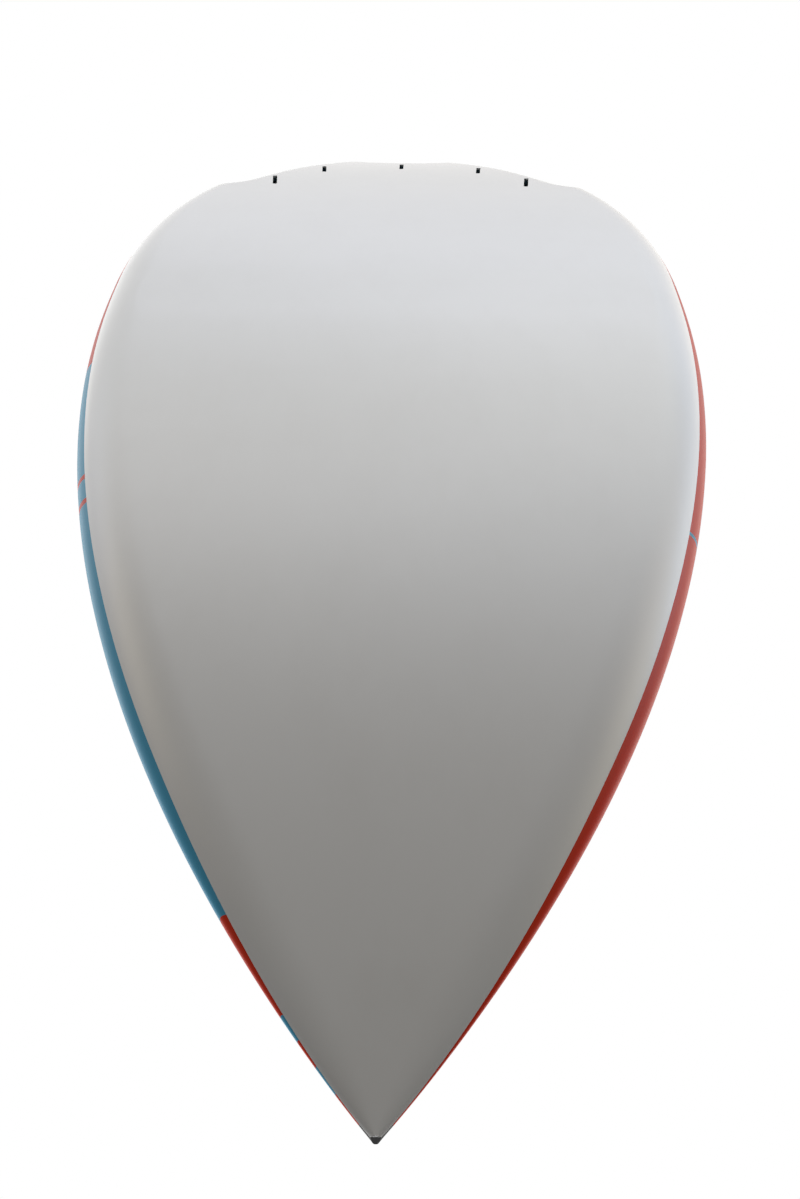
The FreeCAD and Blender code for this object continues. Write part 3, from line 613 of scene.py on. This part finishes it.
finishes = {
    "bottom_gelcoat": white_gelcoat(),
    "deck_paint": deck_paint(),
    "nose_rubber": moulded("nose_rubber", BLACK, 0.42),
    "sandwich_foam": bead_foam("sandwich_foam", (0.70, 0.62, 0.38), 900.0, 0.8),
    "dense_foam": bead_foam("dense_foam", (0.50, 0.58, 0.48), 700.0, 0.85),
    "stringer_wood": stringer_wood(),
    "core_foam": bead_foam("core_foam", (0.84, 0.86, 0.88), 260.0, 0.7),
    "handle_plastic": moulded("handle_plastic", (0.018, 0.018, 0.02), 0.46),
    "box_plastic": box_plastic(),
    "steel": metal("steel", (0.60, 0.60, 0.61), 0.28, (1.0, 8.0, 1.0)),
    "membrane_fabric": membrane_fabric(),
    "vent_metal": metal("vent_metal", (0.72, 0.56, 0.27), 0.30, (1.0, 1.0, 6.0)),
    "seal_rubber": moulded("seal_rubber", (0.014, 0.014, 0.014), 0.62),
    "grip_foam": eva_foam("grip_foam", (0.055, 0.060, 0.066)),
}
kick_foam = eva_foam("kick_foam", (0.028, 0.030, 0.033))

for row in frame["record"]["subparts"]:
    mesh = nodes[row["node"]].data
    mesh.materials.clear()
    mesh.materials.append(finishes[row["material_slot"]])


def soften(node, width):
    """Small rounded edges on one of the frame's own solids."""
    weld = nodes[node].modifiers.new("weld", "WELD")
    weld.merge_threshold = 0.00001
    bevel = nodes[node].modifiers.new("edges", "BEVEL")
    bevel.width = width
    bevel.segments = 3
    bevel.limit_method = "ANGLE"
    bevel.angle_limit = math.radians(42)
    bevel.use_clamp_overlap = True
    bevel.harden_normals = False


EDGE_WIDTHS = {
    "handle_cup": 0.0008, "handle_bar": 0.002, "leash_plug_cup": 0.0005,
    "vent_body": 0.0004, "vent_screw": 0.0003,
}
for node, width in EDGE_WIDTHS.items():
    soften(node, width)

# ---------------------------------------------------------------- hull shells

aft_start = TAIL + 0.125
guard_start = NOSE - GUARD_LENGTH


def stations_to(last):
    """Rows from the swallow tail forward: close together behind the wing and at the nose."""
    tail_to_wing = [aft_start + (WING - aft_start) * (1 - (1 - k / 26) ** 2.2) for k in range(26)]
    body = [WING + (last - WING) * math.sin(math.pi / 2 * k / 110) for k in range(111)]
    return tail_to_wing + body


bottom = skin(bottom_point, stations_to(NOSE), 14, 72, True, -1)
deck = skin(deck_point, stations_to(guard_start), 14, 84, False, 1)
wall = ("SOLIDIFY", {"thickness": SKIN_WALL, "offset": -1.0, "use_even_offset": False})

slot_shapes = []
FIN_TOES = {"front_port": -3, "front_starboard": 3, "rear_port": -2, "rear_starboard": 2, "centre": 0}
for name, toe in FIN_TOES.items():
    place = slot_place(f"fin_slot_{name}", math.radians(toe))
    slot_shapes.append(block_shape(place, SLOT_LENGTH, SLOT_WIDTH, 2 * SLOT_DEPTH))
    bore = Matrix.Translation((SLOT_LENGTH / 2 + BORE_OVERHANG, 0, 0))
    slot_shapes.append(rod_shape(place @ bore, BORE_RADIUS, 2 * SLOT_DEPTH))
bottom_mesh = with_modifiers(to_mesh(bottom, "bottom_skin"), "bottom_shell", [wall])
bottom_mesh = cut(bottom_mesh, "bottom_cut", slot_shapes)

seat_shapes = [
    block_shape(deck_place(HANDLE_X, 0), HANDLE_LENGTH, HANDLE_WIDTH, 0.06, HANDLE_CORNER),
    rod_shape(deck_place(LEASH_X, LEASH_Y), LEASH_RADIUS, 0.05),
    rod_shape(deck_place(VENT_X, 0), VENT_RADIUS, 0.05),
]
deck_mesh = with_modifiers(to_mesh(deck, "deck_skin"), "deck_shell", [wall])
deck_mesh = cut(deck_mesh, "deck_cut", seat_shapes)

for mesh in (bottom_mesh, deck_mesh):
    mesh.set_sharp_from_angle(angle=math.radians(32))
bottom_piece = piece("white_bottom", bottom_mesh, "bottom_gelcoat", "bottom_skin")
bottom_piece.data.materials.append(finishes["bottom_gelcoat"])
deck_piece = piece("painted_deck", deck_mesh, "deck_paint", "deck_skin")
deck_piece.data.materials.append(finishes["deck_paint"])


def nose_cap():
    """The moulded tip: a solid piece of the hull's own form above the seam."""
    rows, columns = 14, 48
    bm = bmesh.new()
    bmesh.ops.create_grid(bm, x_segments=rows, y_segments=columns, size=1)
    ends = ([], [])
    for vert in bm.verts:
        row = round((vert.co.x + 1) / 2 * rows)
        vert.co = deck_point(guard_start + GUARD_LENGTH * row / rows, vert.co.y)
        if row in (0, rows):
            ends[row // rows].append(vert)
    for edge in ends:
        mine = set(edge)
        line = [e for e in bm.edges if e.verts[0] in mine and e.verts[1] in mine]
        for vert in bmesh.ops.extrude_edge_only(bm, edges=line)["geom"]:
            if isinstance(vert, bmesh.types.BMVert):
                vert.co = seam_point(vert.co.x, vert.co.y)
    bmesh.ops.remove_doubles(bm, verts=bm.verts, dist=1e-6)
    bmesh.ops.holes_fill(bm, edges=[e for e in bm.edges if e.is_boundary], sides=0)
    outward(bm)
    return to_mesh(bm, "nose_cap")


cap = piece("nose_cap", nose_cap(), "nose_rubber", "nose_guard")
cap.data.materials.append(finishes["nose_rubber"])

# ---------------------------------------------------------------- grip foam

def rounded_outline(corners, radius):
    """Corner points of a convex sheet with its corners rounded, in order."""
    bm = bmesh.new()
    bm.faces.new([bm.verts.new((x, y, 0)) for x, y in corners])

    def corner_angle(vert):
        first, second = (edge.other_vert(vert).co - vert.co for edge in vert.link_edges)
        return first.angle(second)

    sharp = [v for v in bm.verts if corner_angle(v) < math.radians(150)]
    bmesh.ops.bevel(bm, geom=sharp, affect="VERTICES", offset=radius, segments=5, profile=0.5, material=-1)
    bm.faces.ensure_lookup_table()
    face = bm.faces[0]
    face.normal_update()
    points = [v.co.copy() for v in face.verts]
    if face.normal.z < 0:
        points.reverse()
    bm.free()
    return points


def edges_of(outline):
    """Each side of an outline: its start, its end and the direction out of it."""
    for a, b in zip(outline, outline[1:] + outline[:1]):
        side = (b - a).normalized()
        yield a, b, Vector((side.y, -side.x, 0))


def open_hole(bm, outline, reach):
    """Cuts a convex hole through the sheet, dividing only the tiles that a side of the hole passes over."""
    for a, b, out in edges_of(outline):
        near = []
        for face in bm.faces:
            middle = face.calc_center_median()
            share = min(1.0, max(0.0, (middle - a).dot(b - a) / (b - a).length_squared))
            if (middle - a.lerp(b, share)).length < reach:
                near.append(face)
        parts = set(near) | {e for f in near for e in f.edges} | {v for f in near for v in f.verts}
        bmesh.ops.bisect_plane(bm, geom=list(parts), dist=1e-6, plane_co=a, plane_no=out)
    inside = [
        face for face in bm.faces
        if all((face.calc_center_median() - a).dot(out) < 1e-6 for a, b, out in edges_of(outline))
    ]
    bmesh.ops.delete(bm, geom=inside, context="FACES")


def tiled_sheet(outline, cell, turn, top, groove=GROOVE_DEPTH, lip=0.0011, hole=None):
    """A foam sheet cut by grooves into tiles, lying on the deck; top gives the height of the tiles' faces."""
    bm = bmesh.new()
    low = Vector((min(p.x for p in outline), min(p.y for p in outline), 0))
    high = Vector((max(p.x for p in outline), max(p.y for p in outline), 0))
    centre, reach = (low + high) / 2, (high - low).length
    counts = [math.ceil(reach / size) for size in cell]
    frame_matrix = Matrix.Translation(centre) @ Matrix.Rotation(turn, 4, "Z") @ Matrix.Diagonal(
        (counts[0] * cell[0], counts[1] * cell[1], 1, 1)
    )
    bmesh.ops.create_grid(bm, x_segments=counts[0], y_segments=counts[1], size=0.5, matrix=frame_matrix)
    for a, b, out in edges_of(outline):
        whole = bm.verts[:] + bm.edges[:] + bm.faces[:]
        bmesh.ops.bisect_plane(bm, geom=whole, dist=1e-6, plane_co=a, plane_no=out, clear_outer=True)
    if hole:
        open_hole(bm, hole, max(cell))
    bmesh.ops.remove_doubles(bm, verts=bm.verts, dist=0.0002)
    rise = bm.verts.layers.float.new("rise")
    lifted = bmesh.ops.extrude_face_region(bm, geom=bm.faces[:], use_keep_orig=True)["geom"]
    tiles = [f for f in lifted if isinstance(f, bmesh.types.BMFace)]
    for vert in lifted:
        if isinstance(vert, bmesh.types.BMVert):
            vert[rise] = 1.0
    broad = [f for f in tiles if f.calc_area() > 0.2 * cell[0] * cell[1]]
    bmesh.ops.inset_individual(bm, faces=broad, thickness=lip, use_even_offset=True)
    for tile in broad:
        for vert in tile.verts:
            vert[rise] = 2.0
    for vert in bm.verts:
        x, y = vert.co.x, vert.co.y
        if vert[rise] == 0.0:
            vert.co.z = deck_form(x, y) - 0.0003
        else:
            vert.co.z = top(x, y) - (groove if vert[rise] == 1.0 else 0.0)
    bmesh.ops.recalc_face_normals(bm, faces=bm.faces)
    return bm


def on_deck(x, y):
    return deck_form(x, y) + PAD_WALL


def pad_corners(front, rear, margin, inner, side, count=9):
    """Corners of a pad between two stations, an inner line and the outline less a margin."""
    outer = [front + (rear - front) * k / (count - 1) for k in range(count)]
    edge = [(x, half_width(x) - margin) for x in outer]
    if inner is None:
        return edge + [(x, -y) for x, y in reversed(edge)]
    return [(x, side * y) for x, y in edge + [(rear, inner), (front, inner)]]


def oblong(front, rear, side):
    return [(front, side), (rear, side), (rear, -side), (front, -side)]


def add_pad(
    name, node, corners, radius, cell=(0.0135, 0.0135), turn=math.pi / 4, top=on_deck, foam=None, hole=None
):
    """One sheet of grip foam."""
    bm = tiled_sheet(rounded_outline(corners, radius), cell, turn, top, hole=hole)
    made = piece(name, to_mesh(bm, name, smooth=False), "grip_foam", node)
    made.data.materials.append(foam or finishes["grip_foam"])
    return made


half_gap = PAD_GAP / 2
PAD_FRONT, PAD_FRONT_JOINT, PAD_MIDDLE_JOINT, PAD_REAR_END = 0.520, 0.130, -0.440, -0.825
PAD_MARGIN = 0.096
TAIL_PAD_FRONT, TAIL_PAD_END = -0.853, -1.117
ARCH_SIDE, ARCH_RISE = 0.0238, 0.0068
KICK_FRONT, KICK_REAR, KICK_SIDE, KICK_RISE = -1.126, -1.180, 0.0955, 0.0235
room_fore, room_aft, room_side = HANDLE_X + 0.098, HANDLE_X - 0.098, 0.068
handle_room = rounded_outline(oblong(room_fore, room_aft, room_side), 0.028)
front_corners = pad_corners(PAD_FRONT - half_gap, PAD_FRONT_JOINT + half_gap, PAD_MARGIN, None, 0)
add_pad("front_grip", "grip_pad_front", front_corners, 0.035)
for side, word in ((1, "port"), (-1, "starboard")):
    add_pad(
        f"middle_grip_{word}", f"grip_pad_middle_{word}",
        pad_corners(PAD_FRONT_JOINT - half_gap, PAD_MIDDLE_JOINT + half_gap, PAD_MARGIN, half_gap, side),
        0.012, hole=handle_room,
    )
    add_pad(
        f"rear_grip_{word}", f"grip_pad_rear_{word}",
        pad_corners(PAD_MIDDLE_JOINT - half_gap, PAD_REAR_END, PAD_MARGIN, half_gap, side), 0.012,
    )
    tail_edge = [(TAIL_PAD_FRONT, 0.2235), (-0.930, 0.2000), (-1.020, 0.1720), (TAIL_PAD_END, 0.1400)]
    add_pad(
        f"tail_grip_{word}", f"grip_pad_tail_{word}",
        [(x, side * y) for x, y in tail_edge + [(TAIL_PAD_END, 0.030), (TAIL_PAD_FRONT, 0.030)]], 0.018,
    )


def arch_top(x, y):
    """A low arch down the middle, easing off at both ends."""
    across = math.sqrt(max(0.0, 1 - (y / (ARCH_SIDE + 0.0004)) ** 2))
    ends = min(1.0, (x - TAIL_PAD_END) / 0.03, (TAIL_PAD_FRONT - x) / 0.03)
    return on_deck(x, y) + ARCH_RISE * across * math.sin(math.pi / 2 * max(0.0, ends))


add_pad(
    "arch_grip", "arch_bar", oblong(TAIL_PAD_FRONT, TAIL_PAD_END, ARCH_SIDE),
    0.010, cell=(0.0075, 0.0075), top=arch_top, foam=kick_foam,
)


def kick_top(x, y):
    """A hollow ramp that rises towards the tail."""
    rising = (KICK_FRONT - x) / (KICK_FRONT - KICK_REAR)
    return deck_height(x) - 0.0012 + PAD_WALL + KICK_RISE * min(max(rising, 0.0), 1.0) ** 2


add_pad(
    "tail_kick_grip", "tail_kick", oblong(KICK_FRONT, KICK_REAR, KICK_SIDE),
    0.008, cell=(0.0068, 0.0192), turn=0.0, top=kick_top, foam=kick_foam,
)

# ---------------------------------------------------------------- floor, light and camera

def floor():
    """A pale floor that is open to whoever looks up through it."""
    f = Finish("pale_floor", (0.82, 0.82, 0.81), 0.7)
    f.set("Base Color", f.ramp(f.noise(1.2, 3.0), [(0.3, (0.845, 0.845, 0.84)), (0.7, (0.86, 0.86, 0.855))]))
    clear = f.node("ShaderNodeBsdfTransparent")
    behind = f.node("ShaderNodeNewGeometry").outputs["Backfacing"]
    shown = f.node("ShaderNodeMixShader", {0: behind, 1: f.shader.outputs[0], 2: clear.outputs[0]})
    f.tree.links.new(shown.outputs[0], f.tree.nodes["Material Output"].inputs["Surface"])
    bm = bmesh.new()
    bmesh.ops.create_grid(bm, x_segments=2, y_segments=2, size=9, matrix=Matrix.Translation((0, 0, -0.0006)))
    made = bpy.data.objects.new("floor", to_mesh(bm, "floor", smooth=False))
    made.data.materials.append(f.material)
    bpy.context.scene.collection.objects.link(made)
    made.visible_diffuse = made.visible_glossy = made.visible_transmission = made.visible_shadow = False


floor()

SOFT_LIGHTS = [
    (-16, -180, (0.67, 0.71, 0.82), 30),
    (-16, -156, (0.20, 0.33, 0.54), 30),
    (-16, -132, (1.18, 1.32, 1.47), 30),
    (-28, -168, (0.96, 0.96, 0.90), 30),
    (-28, -132, (1.37, 1.50, 1.72), 30),
    (-28, 144, (0.97, 1.01, 1.18), 30),
    (-28, 156, (0.50, 0.54, 0.51), 30),
    (-42, -168, (0.95, 1.06, 1.20), 30),
    (-42, -144, (1.18, 1.14, 1.15), 30),
    (-42, -120, (1.35, 1.16, 0.78), 30),
    (-42, 132, (1.60, 1.42, 1.12), 30),
    (-42, 168, (1.25, 1.21, 1.21), 30),
]
TOP_LIGHTS = [(90, 0, (1.05, 1.05, 1.05), 2.4), (40, 40, (0.7, 0.7, 0.7), 5.0)]
RAIL_LIGHTS = [(12, -138, (2.1, 2.0, 1.9), 7), (12, 138, (2.2, 2.2, 2.2), 7)]


def studio():
    """A white room whose soft boxes are broad patches of light round the board."""
    world = bpy.data.worlds.new("studio")
    bpy.context.scene.world = world
    world.use_nodes = True
    tree = world.node_tree
    background = tree.nodes["Background"]
    way = tree.nodes.new("ShaderNodeTexCoord").outputs["Generated"]
    total = None
    for height, round_by, color, spread in SOFT_LIGHTS + TOP_LIGHTS + RAIL_LIGHTS:
        e, a = math.radians(height), math.radians(round_by)
        facing = tree.nodes.new("ShaderNodeVectorMath")
        facing.operation = "DOT_PRODUCT"
        place = (math.cos(e) * math.cos(a), math.cos(e) * math.sin(a), math.sin(e))
        facing.inputs[1].default_value = place
        tree.links.new(way, facing.inputs[0])
        fall = tree.nodes.new("ShaderNodeMath")
        fall.operation = "MULTIPLY_ADD"
        fall.inputs[1].default_value, fall.inputs[2].default_value = spread, -spread
        tree.links.new(facing.outputs["Value"], fall.inputs[0])
        glow = tree.nodes.new("ShaderNodeMath")
        glow.operation = "EXPONENT"
        tree.links.new(fall.outputs[0], glow.inputs[0])
        added = tree.nodes.new("ShaderNodeVectorMath")
        added.operation = "MULTIPLY_ADD"
        added.inputs[1].default_value = color
        tree.links.new(glow.outputs[0], added.inputs[0])
        if total is not None:
            tree.links.new(total, added.inputs[2])
        total = added.outputs[0]
    seen = tree.nodes.new("ShaderNodeMix")
    seen.data_type = "RGBA"
    tree.links.new(tree.nodes.new("ShaderNodeLightPath").outputs["Is Camera Ray"], seen.inputs[0])
    tree.links.new(total, seen.inputs[6])
    seen.inputs[7].default_value = (1, 1, 1, 1)
    tree.links.new(seen.outputs[2], background.inputs["Color"])


studio()
bpy.context.scene.view_settings.view_transform = "Standard"

camera = bpy.data.objects.new("camera", bpy.data.cameras.new("camera"))
bpy.context.scene.collection.objects.link(camera)
camera.data.lens = 71.27
camera.data.sensor_width = 36.0
camera.data.clip_start = 0.01
camera.data.clip_end = 100.0
climb, swing, roll = 0.40938, -0.0038, 0.010574
forward = Vector((-math.cos(climb) * math.cos(swing), -math.cos(climb) * math.sin(swing), math.sin(climb)))
level = forward.cross(Vector((0, 0, -1))).normalized()
upright = level.cross(forward)
right = level * math.cos(roll) + upright * math.sin(roll)
up = upright * math.cos(roll) - level * math.sin(roll)
facing = Matrix((right, up, -forward)).transposed().to_4x4()
camera.matrix_world = Matrix.Translation((2.8044, -0.02017, -0.8314)) @ facing
bpy.context.scene.camera = camera
